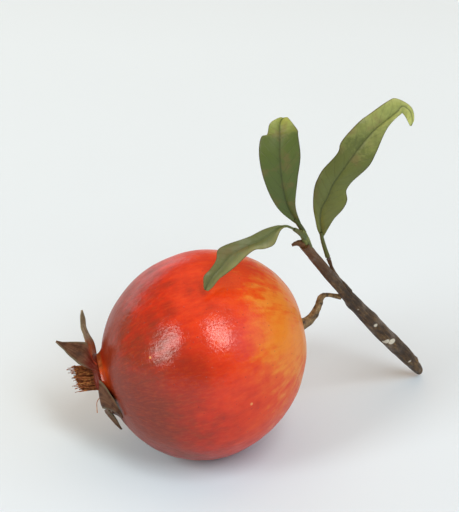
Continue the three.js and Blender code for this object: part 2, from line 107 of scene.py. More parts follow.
# %% A limb
def add_limb(bm, rows, sides=16, steps=40, swell=lambda share, side: 0, slim=1.0):
    """Adds a stem through rows of [x, y, z, radius] in mm. swell gives bumps in mm, and slim thins it."""
    places = [row[:3] for row in rows]
    radii = [(row[3] * slim, 0, 0) for row in rows]
    ring = bmesh.ops.create_circle(bm, cap_ends=True, segments=sides, radius=1)["verts"]
    start = cap = ring[0].link_faces[0]
    made = [start]
    turn = Vector((0.3, -1, 0.2))
    for step in range(steps + 1):
        share = step / steps
        if step:
            grown = bmesh.ops.extrude_face_region(bm, geom=[cap])["geom"]
            if cap is not start:
                bmesh.ops.delete(bm, geom=[cap], context="FACES")
            cap, *walls = [item for item in grown if isinstance(item, bmesh.types.BMFace)]
            made += [cap, *walls]
            ring = list(cap.verts)
        here = smooth_point(places, share)
        ahead = smooth_point(places, min(share + 1e-3, 1)) - smooth_point(places, max(share - 1e-3, 0))
        ahead.normalize()
        turn = (turn - ahead * turn.dot(ahead)).normalized()
        across = turn.cross(ahead)
        radius = smooth_point(radii, share).x
        for k, vert in enumerate(ring):
            side = 2 * math.pi * k / sides
            r = radius + swell(share, side)
            vert.co = (here + (turn * math.cos(side) + across * math.sin(side)) * r) * MM
    bmesh.ops.recalc_face_normals(bm, faces=[face for face in made if face.is_valid])


# %% A blade
def add_blade(bm, rows, across=20, along=80, bow=lambda v: 0, wave=lambda u, v: 0):
    """Adds a grid between an edge, a midrib and an edge, and writes down where each point lies on it."""
    lines = [[row[side] for row in rows] for side in range(3)]
    seen = set(bm.verts)
    on_blade = bm.verts.layers.float_vector["on_blade"]
    bmesh.ops.create_grid(bm, x_segments=across, y_segments=along, size=1)
    for vert in [vert for vert in bm.verts if vert not in seen]:
        u, v = vert.co.x, (vert.co.y + 1) / 2
        inside = min(max(v, 0.04), 0.96)
        forward = smooth_point(lines[1], inside + 0.02) - smooth_point(lines[1], inside - 0.02)
        sideways = smooth_point(lines[2], inside) - smooth_point(lines[0], inside)
        face = sideways.cross(forward).normalized()
        rib = smooth_point(lines[1], v)
        edge = smooth_point(lines[0 if u < 0 else 2], v)
        lift = bow(v) * 4 * abs(u) * (1 - abs(u)) + wave(u, v) * u * u
        place = rib.lerp(edge, abs(u)) + face * lift
        vert[on_blade] = (u, v, (edge - rib).length * abs(u))
        vert.co = place * MM


# %% Turning a mesh into a piece
def new_mesh():
    """An empty mesh whose points can say where on a blade they lie."""
    bm = bmesh.new()
    bm.verts.layers.float_vector.new("on_blade")
    return bm


def finish_piece(bm, name, node, thick=0):
    """Makes an object of the mesh that stands for that CAD node. thick is a blade's thickness in mm."""
    for face in bm.faces:
        face.smooth = True
    mesh = bpy.data.meshes.new(name)
    bm.to_mesh(mesh)
    bm.free()
    piece = bpy.data.objects.new(name, mesh)
    scene.collection.objects.link(piece)
    if thick:
        wall = piece.modifiers.new("thickness", "SOLIDIFY")
        wall.thickness = thick * MM
        wall.offset = 0
    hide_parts(node)
    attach(piece, "root")
    print(name, "has", len(mesh.polygons), "faces")
    return piece


# %% [markdown]
# The fruit
#
# The rind is a lathe shape: a profile from the stalk end over the belly to the neck and down into the
# cup of the crown. A full spin of that profile makes it, and then every point moves as the fruit grew:
# a heavier side, a slanting long axis and six faint ribs. A ball pulled into shape by hand would do as
# well, but a lathe keeps the neck crisp and its sizes can be named. Each point keeps two facts for the
# finish: where it lies in the fruit, and its meridian, because the streaks run from stalk to crown.

# %% The fruit's own frame
AXIS_YAW = 9
AXIS_DIP = 14
CENTRE = Vector((0, 0, 42.5))
yaw, dip = math.radians(AXIS_YAW), math.radians(AXIS_DIP)
crown_way = Vector((-math.cos(dip) * math.cos(yaw), -math.cos(dip) * math.sin(yaw), -math.sin(dip)))
down = math.radians(LOOKING_DOWN)
front = Vector((0, -math.cos(down), math.sin(down)))
front = (front - crown_way * front.dot(crown_way)).normalized()
top = crown_way.cross(front)
in_fruit = Matrix((front, top, crown_way)).transposed()
print("the crown end points to", [round(n, 2) for n in crown_way])

# %% The rind
FRUIT_RADIUS = 43.1
# Each is (how many swellings go round the fruit, their share of its radius, where one lies in degrees).
LOPSIDED = [(1, 0.0073, 143.8), (2, 0.0255, 47.0), (3, 0.0073, 20.2)]
RIB_COUNT, RIB_HEIGHT, RIB_TURN = 6, 0.4, 0.6
DIMPLE_DEPTH, DIMPLE_WIDTH = 0.8, 0.2
NECK_RADIUS, NECK_WAIST, NECK_TOP, NECK_FLARE, NECK_STEPS = 15.2, 12.9, 43.4, 2.2, 8
CUP_RADIUS, CUP_FLOOR = 10.4, 42.2


def grown(p):
    """Where a point of a perfect ball comes to lie in the real, lopsided fruit."""
    if p.length == 0:
        return p
    way = p.normalized()
    aside = math.hypot(way.y, way.z)
    turn = math.atan2(way.y, -way.z)
    lopsided = sum(
        share * aside**order * math.cos(order * (turn - math.radians(at))) for order, share, at in LOPSIDED
    )
    ribs = RIB_HEIGHT * math.cos(RIB_COUNT * math.atan2(way.y, way.x) - RIB_TURN)
    ribs *= math.hypot(way.x, way.y) ** 4
    return way * (p.length * (1 + lopsided) + ribs)


def rind_profile(steps):
    """Points from the stalk end to the cup's floor, as (distance from the axis, place along it)."""
    neck_angle = math.asin(NECK_RADIUS / FRUIT_RADIUS)
    profile = []
    for i in range(steps + 1):
        angle = math.pi + (neck_angle - math.pi) * i / steps
        r = FRUIT_RADIUS - DIMPLE_DEPTH * math.exp(-(((math.pi - angle) / DIMPLE_WIDTH) ** 2))
        profile.append((r * math.sin(angle) if i else 0, r * math.cos(angle)))
    foot_r, foot_z = profile[-1]
    for i in range(1, NECK_STEPS + 1):
        share = i / NECK_STEPS
        waist = NECK_WAIST + (foot_r - NECK_WAIST) * (1 - share) ** NECK_FLARE
        profile.append((waist, foot_z + (NECK_TOP - foot_z) * share))
    return profile + [(CUP_RADIUS + 0.6, NECK_TOP - 0.1), (CUP_RADIUS, CUP_FLOOR), (0, CUP_FLOOR)]


bm = new_mesh()
lies_at = bm.verts.layers.float_vector.new("lies_at")
meridian = bm.verts.layers.float_vector.new("meridian")
points = [bm.verts.new((r, 0, z)) for r, z in rind_profile(110)]
edges = [bm.edges.new(pair) for pair in zip(points, points[1:])]
bmesh.ops.spin(
    bm, geom=points + edges, axis=(0, 0, 1), cent=(0, 0, 0), angle=2 * math.pi, steps=180, use_merge=True
)
bmesh.ops.remove_doubles(bm, verts=bm.verts, dist=1e-4)
bmesh.ops.recalc_face_normals(bm, faces=bm.faces)
for vert in bm.verts:
    p = grown(vert.co.copy())
    around = math.atan2(p.y, p.x)
    vert[lies_at] = p / FRUIT_RADIUS
    vert[meridian] = (math.cos(around), math.sin(around), math.atan2(math.hypot(p.x, p.y), -p.z))
    dent = noise.noise(p * 0.06) * 0.35 + noise.noise(p * 0.22) * 0.1
    p += p.normalized() * (dent - 0.25) * min(1, math.hypot(p.x, p.y) / 20)
    p = in_fruit @ p + CENTRE
    p.z = max(p.z, 0)
    vert.co = p * MM
fruit = finish_piece(bm, "ripe_fruit", "fruit")

# %% [markdown]
# The crown
#
# Six sepals stand round the end of the fruit on a short tube. They have dried to thin grey-brown
# leather: some flare out, some are folded back on the neck. One sepal could be copied six times, but
# each has dried in its own way, so four shapes are drawn and only the hidden ones repeat. Each is a
# blade, the tube is a lathe shape like the rind, and small crumples keep them from looking like metal.

# %% The sepals
SEPAL_THICKNESS = 0.6
SEPAL_TOP_FRONT = [
    [[11.8, 5.4, 43.2], [11.0, 7.4, 43.2], [9.8, 9.2, 43.2]],
    [[11.5, 7.0, 44.6], [10.0, 9.3, 44.4], [8.2, 11.2, 44.2]],
    [[12.2, 9.2, 47.2], [10.4, 12.8, 46.0], [7.6, 15.2, 44.6]],
    [[12.0, 11.4, 49.8], [10.2, 15.4, 48.0], [6.2, 18.4, 44.9]],
    [[11.8, 13.6, 51.3], [10.3, 17.0, 49.8], [6.8, 19.6, 47.4]],
    [[11.5, 16.8, 53.2], [10.5, 19.2, 52.3], [8.2, 20.7, 50.6]],
    [[11.1, 20.0, 54.9], [10.6, 21.2, 54.6], [9.6, 21.8, 53.9]],
    [[10.8, 22.6, 56.3], [10.6, 22.8, 56.3], [10.4, 22.9, 56.2]],
]
SEPAL_TOP = [
    [[8.0, 8.6, 44.5], [2.0, 11.2, 44.2], [-5.0, 9.8, 44.0]],
    [[7.4, 12.2, 44.8], [1.4, 13.6, 44.3], [-6.4, 12.4, 43.4]],
    [[5.6, 15.8, 45.3], [0.2, 16.4, 44.4], [-6.4, 15.6, 43.0]],
    [[3.8, 18.9, 45.2], [-1.2, 19.2, 44.4], [-6.0, 18.2, 43.0]],
    [[1.4, 22.2, 45.4], [-2.2, 22.4, 44.9], [-6.0, 21.4, 43.9]],
    [[-0.6, 25.4, 45.4], [-3.0, 25.4, 44.9], [-5.4, 24.8, 44.1]],
    [[-2.6, 29.0, 44.8], [-3.7, 29.0, 44.2], [-4.8, 28.4, 43.3]],
    [[-3.8, 31.7, 43.6], [-4.0, 31.8, 43.5], [-4.2, 31.7, 43.4]],
]
SEPAL_BOTTOM_FRONT = [
    [[9.4, -8.0, 44.6], [11.4, -3.2, 44.6], [11.9, 1.8, 44.2]],
    [[11.4, -8.6, 45.6], [13.0, -2.8, 45.2], [12.8, 2.6, 43.6]],
    [[13.4, -9.0, 44.6], [14.4, -4.6, 43.6], [14.6, -0.4, 41.9]],
    [[14.2, -10.0, 42.6], [15.6, -7.0, 41.9], [16.0, -3.9, 40.8]],
    [[14.8, -11.2, 41.2], [16.0, -9.0, 40.7], [16.5, -6.6, 39.9]],
    [[15.2, -12.3, 40.1], [16.0, -10.9, 39.9], [16.4, -9.2, 39.5]],
    [[15.4, -13.3, 39.4], [15.8, -12.6, 39.2], [16.0, -11.8, 39.0]],
    [[15.4, -14.3, 38.8], [15.4, -14.2, 38.8], [15.5, -14.1, 38.8]],
]
SEPAL_BOTTOM = [
    [[-2.6, -10.4, 44.9], [1.6, -11.0, 44.7], [6.0, -9.6, 44.4]],
    [[-1.6, -10.6, 46.0], [2.4, -11.4, 45.0], [6.0, -10.8, 43.9]],
    [[0.6, -12.2, 45.4], [3.0, -12.9, 44.2], [5.2, -13.0, 42.9]],
    [[1.6, -14.4, 44.4], [3.2, -14.8, 43.4], [4.4, -14.8, 42.2]],
    [[2.1, -17.0, 43.1], [2.8, -17.3, 42.4], [3.5, -17.3, 41.7]],
    [[2.3, -19.4, 41.5], [2.5, -19.5, 41.4], [2.7, -19.5, 41.2]],
]
# Each is its rows, degrees turned round the crown, how bleached it is, and how far its red root reaches.
SEPALS = [
    (SEPAL_TOP_FRONT, 0, 0.1, 0.45),
    (SEPAL_TOP, 0, 1.0, 0.55),
    (SEPAL_TOP, 62, 0.7, 0.4),
    (SEPAL_BOTTOM, -56, 0.6, 0.1),
    (SEPAL_BOTTOM, 0, 0.15, 0.1),
    (SEPAL_BOTTOM_FRONT, 0, 0.08, 0.1),
]

bm = new_mesh()
bleached = bm.verts.layers.float.new("bleached")
root_reach = bm.verts.layers.float.new("root_reach")
for rows, degrees, paleness, reach in SEPALS:
    before = set(bm.verts)
    add_blade(bm, rows, across=14, along=48, bow=lambda v: -0.3)
    sepal = [vert for vert in bm.verts if vert not in before]
    turned = Matrix.Rotation(math.radians(degrees), 3, "Z")
    bmesh.ops.rotate(bm, verts=sepal, cent=(0, 0, 0), matrix=turned)
    for vert in sepal:
        vert[bleached] = paleness
        vert[root_reach] = reach

print("the sepals have", len(bm.verts), "points")

# %% The tube of the crown
# The tube reaches down over the neck's edge, because in the real fruit the two are one.
CROWN_SEAT, CROWN_RIM = 43.2, 45.5
before = set(bm.verts)
wall = [(10.9, 43.8), (12.95, CROWN_SEAT), (13.1, 44.4), (13.2, CROWN_RIM), (11.8, CROWN_RIM - 0.2)]
points = [bm.verts.new((r * MM, 0, z * MM)) for r, z in wall]
edges = [bm.edges.new(pair) for pair in zip(points, points[1:] + points[:1])]
bmesh.ops.spin(
    bm, geom=points + edges, axis=(0, 0, 1), cent=(0, 0, 0), angle=2 * math.pi, steps=90, use_merge=True
)
tube = [vert for vert in bm.verts if vert not in before]
bmesh.ops.remove_doubles(bm, verts=tube, dist=1e-6)
tube = [vert for vert in bm.verts if vert not in before]
bmesh.ops.recalc_face_normals(bm, faces=list({face for vert in tube for face in vert.link_faces}))
on_blade = bm.verts.layers.float_vector["on_blade"]
for vert in tube:
    vert.co = grown(vert.co / MM) * MM
    lower_side = min(1, max(0, -vert.co.y / MM / 8))
    above_seat = max(0, vert.co.z / MM - CROWN_SEAT)
    vert.co *= 1 - 0.03 * lower_side * above_seat
    vert[on_blade] = (0, 0.1 + 0.3 * lower_side, 0)
    vert[bleached] = 0.1 + 0.5 * lower_side
    vert[root_reach] = 0.3
print("the tube has", len(tube), "points")

# %% Crumples
lies_at = bm.verts.layers.float_vector.new("lies_at")
for vert in bm.verts:
    p = vert.co / MM
    vert[lies_at] = p / FRUIT_RADIUS
    crumple = noise.noise(p * 0.35) * 0.3 + noise.noise(p * 1.1) * 0.12
    p += Vector((0.3, 0.3, 1)) * crumple * min(1, max(0, (p.z - 43.5) / 3))
    vert.co = (in_fruit @ p + CENTRE) * MM
crown = finish_piece(bm, "crown_sepals", "calyx", thick=SEPAL_THICKNESS)

# %% [markdown]
# The stamens
#
# When the flower faded, its many stamens dried where they stood. They make a rusty brush in the mouth
# of the crown: thin curved threads, a few of them loose, some with the shrivelled bag of an anther. Hair
# could grow here, but real threads cast their own shadows and are kept when the model is exported.

# %% The dry threads
TUFT_BASE, TUFT_TIP = Vector((1, 2.8, 42.7)), Vector((1.4, 5.8, 54.2))
TUFT_RADIUS = 5.2
THREADS, STRAYS = 260, 26
GOLDEN_ANGLE = 2.39996
draw = random.Random(2017)

bm = new_mesh()
one_thread = bpy.data.meshes.new("one_thread")
for i in range(THREADS + STRAYS):
    stray = i >= THREADS
    turn = i * GOLDEN_ANGLE
    share = draw.uniform(0.7, 1.0) if stray else math.sqrt((i + 0.5) / THREADS)
    reach = draw.uniform(0.95, 1.06) if stray else draw.uniform(0.78, 1.0) - 0.1 * share**2
    bend = [draw.uniform(-1, 1) * (1.6 if stray else 0.5) for _ in range(3)]
    places = []
    for step in (0, 0.35, 0.7, 1):
        middle = TUFT_BASE.lerp(TUFT_TIP, step * reach)
        away = (TUFT_RADIUS + 0.2 * step) * share
        around = turn + 0.6 * bend[0] * step
        sway = Vector((math.cos(around), math.sin(around), 0)) * away
        sway += Vector(bend) * 1.012 * step**2
        places.append([*(middle + sway), draw.uniform(0.13, 0.2) * (1.25 - 0.5 * step)])
    thread = new_mesh()
    add_limb(thread, places, sides=5, steps=8)
    if i % 5 == 0:
        knob = bmesh.ops.create_icosphere(thread, subdivisions=1, radius=0.4 * MM)["verts"]
        bmesh.ops.scale(thread, verts=knob, vec=(1, 0.7, 1.3))
        bmesh.ops.translate(thread, verts=knob, vec=Vector(places[-1][:3]) * MM)
    thread.to_mesh(one_thread)
    thread.free()
    bm.from_mesh(one_thread)
bpy.data.meshes.remove(one_thread)
# One thread has fallen out of the brush and hangs from the crown's rim.
LOOSE_THREAD = [
    (10.5, -3.5, 44.8, 0.16),
    (11.5, -5.5, 47.2, 0.14),
    (12.0, -7.6, 47.9, 0.13),
    (12.0, -9.8, 48.4, 0.2),
]
add_limb(bm, LOOSE_THREAD, sides=6, steps=16)
bmesh.ops.transform(bm, matrix=Matrix.Translation(CENTRE * MM) @ in_fruit.to_4x4(), verts=bm.verts)
stamens = finish_piece(bm, "dry_stamens", "stamens")

# %% [markdown]
# The twig, the stalk and the green shoot
#
# The twig is last year's wood, cut or torn at both ends. Bark isn't smooth: it has shallow ridges along
# the stem and swells round old buds. A bump in the finish would leave the outline straight, so each
# limb gets a swelling of its own from noise, and the bump adds only the finest furrows.

# %% The twig
TWIG = [
    [39.8, -1.2, 94.9, 2.1],
    [46.0, 5.8, 82.9, 2.2],
    [55.4, 14.8, 66.0, 2.4],
    [65.4, 23.8, 49.1, 3.1],
    [76.6, 33.1, 31.1, 3.5],
    [86.9, 41.2, 15.4, 3.25],
    [91.0, 44.6, 8.6, 2.75],
    [93.7, 47.0, 3.7, 2.0],
    [94.5, 47.7, 2.0, 1.2],
]
TORN_BARK = [
    [41.6, 0.6, 92.4, 1.8],
    [38.8, -0.8, 95.2, 1.6],
    [36.8, -1.4, 95.8, 1.1],
    [34.8, -1.8, 95.0, 0.55],
]
SPUR = [
    [59.2, 17.6, 61.6, 1.9],
    [56.8, 15.4, 66.4, 1.5],
    [54.3, 13.5, 70.9, 1.0],
    [51.8, 12.4, 76.6, 0.75],
    [50.4, 12.0, 81.0, 0.95],
]
# Where the bark swells round an old bud, as (share of the twig, side in radians, height in mm).
BUD_SCARS = [
    (0.22, 0.4, 0.55),
    (0.29, 3.4, 0.6),
    (0.33, 4.6, 0.7),
    (0.42, 1.2, 0.4),
    (0.54, 2.4, 0.35),
    (0.72, 1.4, 0.5),
]
BUD_LENGTH = 0.018


def bark(share, side):
    """How far the twig's bark stands out, in mm."""
    scars = sum(
        height * math.exp(-(((share - at) / BUD_LENGTH) ** 2)) * max(0, math.cos(side - facing)) ** 2
        for at, facing, height in BUD_SCARS
    )
    round_stem = Vector((math.cos(side) * 1.5, math.sin(side) * 1.5, share * 12))
    ridges = noise.noise(round_stem * 1.2) * 0.2 + noise.noise(round_stem * 3.7) * 0.08
    return 0.85 * scars + ridges - 0.1


def young_bark(height, waves, offset):
    """Bumps for a thin stem: how high in mm, how many along it, and where in the noise they start."""
    return lambda share, side: height * (noise.noise(Vector((1.3 * side, share * waves, offset))) - 0.25)


bm = new_mesh()
add_limb(bm, TWIG, sides=40, steps=240, swell=bark)
add_limb(bm, TORN_BARK, sides=16, steps=30, swell=young_bark(0.18, 9, 3))
add_limb(bm, SPUR, sides=20, steps=60, swell=young_bark(0.2, 14, 7))
twig = finish_piece(bm, "woody_twig", "twig")

# %% The stalk and the shoot
STALK = [
    [38.5, 7.0, 51.6, 2.6],
    [43.5, 10.2, 53.1, 2.0],
    [45.6, 12.0, 55.4, 1.8],
    [47.0, 13.8, 58.0, 1.5],
    [47.9, 15.0, 60.5, 1.4],
    [49.2, 15.8, 61.2, 1.15],
    [51.2, 16.7, 60.8, 0.9],
    [56.3, 18.4, 58.9, 1.2],
]
SHOOT_TIP = [
    [41.6, 0.6, 92.6, 1.7],
    [40.5, -0.5, 96.4, 1.6],
    [39.4, -1.1, 99.4, 1.5],
    [38.4, -1.5, 101.5, 1.1],
]

bm = new_mesh()
add_limb(bm, STALK, sides=24, steps=90, swell=young_bark(0.25, 14, 5))
stalk = finish_piece(bm, "curved_stalk", "fruit_stalk")

bm = new_mesh()
add_limb(bm, SHOOT_TIP, sides=20, steps=40, swell=young_bark(0.12, 10, 9))
shoot = finish_piece(bm, "green_shoot", "shoot_tip")

# %% [markdown]
# The leaves
#
# A pomegranate leaf is long and blunt, on a short petiole, and it dries in waves. Each leaf is a fine
# grid through the same edges and midrib as its solid, with a petiole added to the same mesh. The midrib
# is pressed in as a groove. Two sheets could be drawn, one for each side, but a Solidify modifier makes
# the second from the first, and thinner than the solid has to be.

# %% The leaf shapes
LEAF_THICKNESS = 0.45
GROOVE_DEPTH, GROOVE_WIDTH = 0.25, 0.7
UPRIGHT = [
    [[37.5, -0.5, 103.0], [38.0, -0.5, 103.0], [38.5, -0.5, 103.5]],
    [[29.0, -3.0, 112.5], [33.0, -2.0, 112.5], [36.0, -2.5, 113.0]],
    [[23.5, -4.5, 125.5], [30.5, -3.0, 124.5], [36.5, -3.5, 125.0]],
    [[21.5, -3.0, 136.0], [29.5, -2.0, 135.5], [37.5, -2.0, 135.0]],
    [[22.5, 0.5, 142.0], [29.5, 1.0, 142.0], [36.5, 0.0, 143.0]],
    [[24.5, 1.0, 142.5], [29.5, 2.0, 143.0], [36.5, 1.0, 144.0]],
    [[25.5, 3.0, 146.0], [29.5, 3.5, 145.5], [35.0, 3.0, 145.5]],
    [[28.0, 4.5, 147.5], [30.0, 5.0, 146.5], [33.5, 4.5, 147.0]],
    [[30.0, 6.0, 147.5], [31.0, 6.0, 147.5], [32.5, 6.0, 147.5]],
]
UPRIGHT_PETIOLE = [
    [39.7, 0.3, 99.2, 0.95],
    [38.9, -0.1, 101.2, 0.85],
    [37.4, -0.6, 104.0, 0.75],
    [35.6, -1.0, 106.6, 0.5],
]
DROOPING = [
    [[38.5, -3.5, 100.0], [38.0, -3.5, 101.5], [37.5, -3.5, 102.5]],
    [[33.0, -5.0, 105.0], [33.0, -5.0, 105.5], [32.5, -5.0, 105.5]],
    [[30.5, -6.0, 104.5], [30.0, -5.0, 105.0], [29.0, -4.5, 105.5]],
    [[27.5, -9.0, 99.5], [25.0, -7.0, 102.0], [23.5, -5.0, 104.0]],
    [[24.0, -10.5, 98.5], [22.0, -8.0, 100.5], [20.0, -6.0, 102.5]],
    [[20.5, -11.0, 98.5], [18.5, -9.0, 99.5], [16.5, -7.0, 101.0]],
    [[15.5, -13.5, 95.5], [12.0, -12.0, 97.5], [8.0, -10.0, 99.5]],
    [[12.5, -15.0, 93.0], [9.5, -13.0, 95.5], [5.5, -11.5, 98.5]],
    [[9.0, -16.0, 90.5], [7.0, -15.0, 93.0], [5.0, -13.5, 95.5]],
    [[6.0, -17.0, 88.5], [4.0, -16.5, 90.0], [2.5, -15.5, 92.0]],
    [[3.5, -18.0, 85.5], [2.0, -18.0, 87.5], [0.0, -17.5, 90.0]],
    [[1.5, -19.5, 84.5], [0.5, -19.5, 85.0], [0.0, -19.5, 86.0]],
]
DROOPING_PETIOLE = [
    [39.9, -2.5, 98.7, 0.9],
    [39.0, -3.2, 100.2, 0.85],
    [37.4, -3.8, 102.2, 0.8],
    [35.4, -4.4, 103.9, 0.6],
]
TALL = [
    [[47.0, 12.0, 91.0], [47.5, 12.0, 91.0], [48.0, 12.0, 91.0]],
    [[45.5, 11.5, 95.0], [47.0, 11.5, 95.0], [49.5, 11.0, 95.0]],
    [[44.5, 11.0, 100.0], [46.5, 11.0, 99.5], [52.0, 10.0, 100.5]],
    [[43.5, 10.0, 106.0], [47.0, 11.0, 105.0], [55.5, 9.5, 105.5]],
    [[43.5, 9.5, 112.0], [49.0, 11.0, 109.5], [57.0, 10.5, 109.0]],
    [[44.5, 10.0, 117.5], [51.0, 11.5, 115.0], [56.5, 12.0, 112.5]],
    [[46.5, 12.0, 121.0], [53.5, 12.0, 119.0], [58.5, 12.5, 115.5]],
    [[53.0, 15.0, 128.0], [59.0, 14.5, 126.5], [65.5, 13.0, 123.0]],
    [[54.0, 15.0, 132.0], [61.5, 16.0, 129.5], [68.0, 14.5, 127.5]],
    [[60.5, 17.0, 139.5], [67.0, 18.5, 135.5], [71.5, 18.5, 135.0]],
    [[64.5, 19.0, 142.0], [70.5, 20.0, 138.0], [74.0, 20.0, 138.5]],
    [[72.5, 22.0, 147.0], [76.5, 22.0, 142.5], [78.0, 22.0, 141.5]],
    [[75.5, 23.5, 147.5], [78.5, 22.5, 144.5], [78.5, 22.5, 141.5]],
    [[82.0, 23.0, 143.5], [81.5, 22.0, 142.5], [80.0, 21.5, 140.0]],
    [[83.0, 21.0, 139.0], [82.5, 20.5, 138.5], [81.0, 20.0, 138.0]],
    [[82.0, 20.0, 137.0], [82.0, 20.0, 137.0], [81.5, 20.0, 137.0]],
]
TALL_PETIOLE = [
    [50.1, 12.0, 81.6, 0.85],
    [49.3, 12.2, 84.0, 0.72],
    [47.9, 12.1, 88.8, 0.64],
    [46.9, 11.7, 93.6, 0.5],
]

# %% Growing the leaves
def grow_leaf(name, node, rows, petiole, waves, depth, phase, bow):
    """One leaf with its petiole. Its edges ripple in the same waves as its solid's do."""
    bm = new_mesh()

    def wave(u, v):
        side = phase[0] if u < 0 else phase[1]
        fine = 0.25 * math.sin(3.1 * waves * v + 5 * side) * u * u
        return (depth * math.sin(waves * v + side) + fine) * math.sin(math.pi * v)

    add_blade(bm, rows, across=26, along=110, bow=bow, wave=wave)
    on_blade = bm.verts.layers.float_vector["on_blade"]
    bm.normal_update()
    for vert in bm.verts:
        from_rib = vert[on_blade].z
        vert.co -= vert.normal * GROOVE_DEPTH * MM * math.exp(-((from_rib / GROOVE_WIDTH) ** 2))
    add_limb(bm, petiole, sides=14, steps=24, slim=0.95)
    return finish_piece(bm, name, node, thick=LEAF_THICKNESS)


def arch(v):
    """How far a leaf bows out between its midrib and its edge, in mm."""
    return 0.5 * math.sin(math.pi * v)


leaf_upright = grow_leaf("upright_leaf", "leaf_upright", UPRIGHT, UPRIGHT_PETIOLE, 9, 0.5, (0, 2), arch)
leaf_drooping = grow_leaf(
    "drooping_leaf", "leaf_drooping", DROOPING, DROOPING_PETIOLE, 13, 0.4, (0, 1.6), lambda v: 0.2
)
leaf_tall = grow_leaf("tall_leaf", "leaf_tall", TALL, TALL_PETIOLE, 17, 0.5, (0.4, 3), arch)

# %% [markdown]
# Finishes
#
# Every finish is a small network of nodes. A picture could be painted for each piece, but noise has no
# seams and stays sharp close by. One function adds a node with its settings and what feeds it, and
# another turns the colours that a painter would name into the linear ones that light needs.


# %% Helpers for finishes
def shade(hexcode):
    """A colour as written for the screen, turned into linear light."""
    parts = [int(hexcode[i : i + 2], 16) / 255 for i in (1, 3, 5)]
    return (*[p / 12.92 if p <= 0.04045 else ((p + 0.055) / 1.055) ** 2.4 for p in parts], 1)


USUAL = {"Mix": {"data_type": "RGBA"}, "MapRange": {"interpolation_type": "SMOOTHSTEP"}}


def add(tree, kind, feeds=(), stops=(), **settings):
    """Adds a node and gives back the list of what comes out of it.

    feeds says what goes in, either in the order of its sockets or by name. stops are the colours of a
    ramp as (place, colour), and settings are the node's own properties.
    """
    made = tree.nodes.new("ShaderNode" + kind)
    for name, value in {**USUAL.get(kind, {}), **settings}.items():
        setattr(made, name, value)
    in_order = [socket for socket in made.inputs if socket.enabled]
    pairs = feeds.items() if isinstance(feeds, dict) else zip(range(len(feeds)), feeds)
    for key, value in pairs:
        socket = made.inputs[key] if isinstance(key, str) else in_order[key]
        if isinstance(value, bpy.types.NodeSocket):
            tree.links.new(value, socket)
        else:
            socket.default_value = value
    for i, (place, colour) in enumerate(stops):
        marks = made.color_ramp.elements
        mark = marks[i] if i < 2 else marks.new(place)
        mark.position = place
        mark.color = shade(colour)
    return [out for out in made.outputs if out.enabled]


def new_finish(name, piece, **surface):
    """A material on the piece, its tree and its shader with the values that are the same all over."""
    material = bpy.data.materials.new(name)
    material.use_nodes = True
    piece.data.materials.clear()
    piece.data.materials.append(material)
    tree = material.node_tree
    shader = tree.nodes["Principled BSDF"]
    for socket, value in surface.items():
        shader.inputs[socket.replace("_", " ")].default_value = value
    print("finish", name, "on", piece.name)
    return tree, shader


# %% [markdown]
# The rind's finish
#
# Ripe rind is orange-red, yellow where it was shaded near the stalk, and dusky where the sun burnt it
# near the crown. Fine fibres show through the wax as short streaks that run from stalk to crown. Under
# them lie blotches, and over all a thin wax gives soft bright reflections. The colour follows the place
# along the fruit's axis, and noise bends it so that no border is straight. One unit of the noise is
# the fruit's radius of 43 mm, so a scale of 20 gives marks of about 2 mm.

# %% Rind: where each point lies
# Wax over firm skin. To the eye: deep colour, two soft panels of light, and a fine orange-peel grain.
# The wax is a coat with a strong gloss at a low weight, which keeps the fruit's edges from glaring.
WAX = {"Coat_Weight": 0.31, "Coat_IOR": 2.0, "Coat_Roughness": 0.2, "Specular_IOR_Level": 0.03}
tree, shader = new_finish("waxy_pomegranate_rind", fruit, **WAX)
place = add(tree, "Attribute", attribute_name="lies_at")[1]
line = add(tree, "Attribute", attribute_name="meridian")[1]
_, upward, along = add(tree, "SeparateXYZ", {"Vector": place})

blotch = add(tree, "TexNoise", {"Vector": place, "Scale": 2.1, "Detail": 5.0, "Roughness": 0.6})[0]
cloud = add(tree, "TexNoise", {"Vector": place, "Scale": 6.5, "Detail": 4.0, "Roughness": 0.6})[0]
drawn = add(tree, "Mapping", {"Vector": line, "Scale": (10, 10, 3.6)})[0]
streak = add(tree, "TexNoise", {"Vector": drawn, "Scale": 1.3, "Detail": 4.0, "Roughness": 0.55})[0]
drawn = add(tree, "Mapping", {"Vector": line, "Scale": (34, 34, 10)})[0]
fibre = add(tree, "TexNoise", {"Vector": drawn, "Scale": 1.4, "Detail": 5.0, "Roughness": 0.6})[0]

# %% Rind: from yellow to dusky red
bent = add(tree, "Math", (blotch, 1.1, along), operation="MULTIPLY_ADD")[0]
bent = add(tree, "Math", (streak, 0.9, bent), operation="MULTIPLY_ADD")[0]
bent = add(tree, "Math", (cloud, 0.7, bent), operation="MULTIPLY_ADD")[0]
bent = add(tree, "MapRange", (bent, 0.35, 2.35))[0]
RIPENING = [
    (0.0, "#da8430"),
    (0.05, "#d66018"),
    (0.13, "#d4400c"),
    (0.32, "#cb320a"),
    (0.55, "#b82708"),
    (0.76, "#9a240e"),
    (0.93, "#7c2a16"),
]
skin = add(tree, "ValToRGB", {"Fac": bent}, stops=RIPENING)[0]

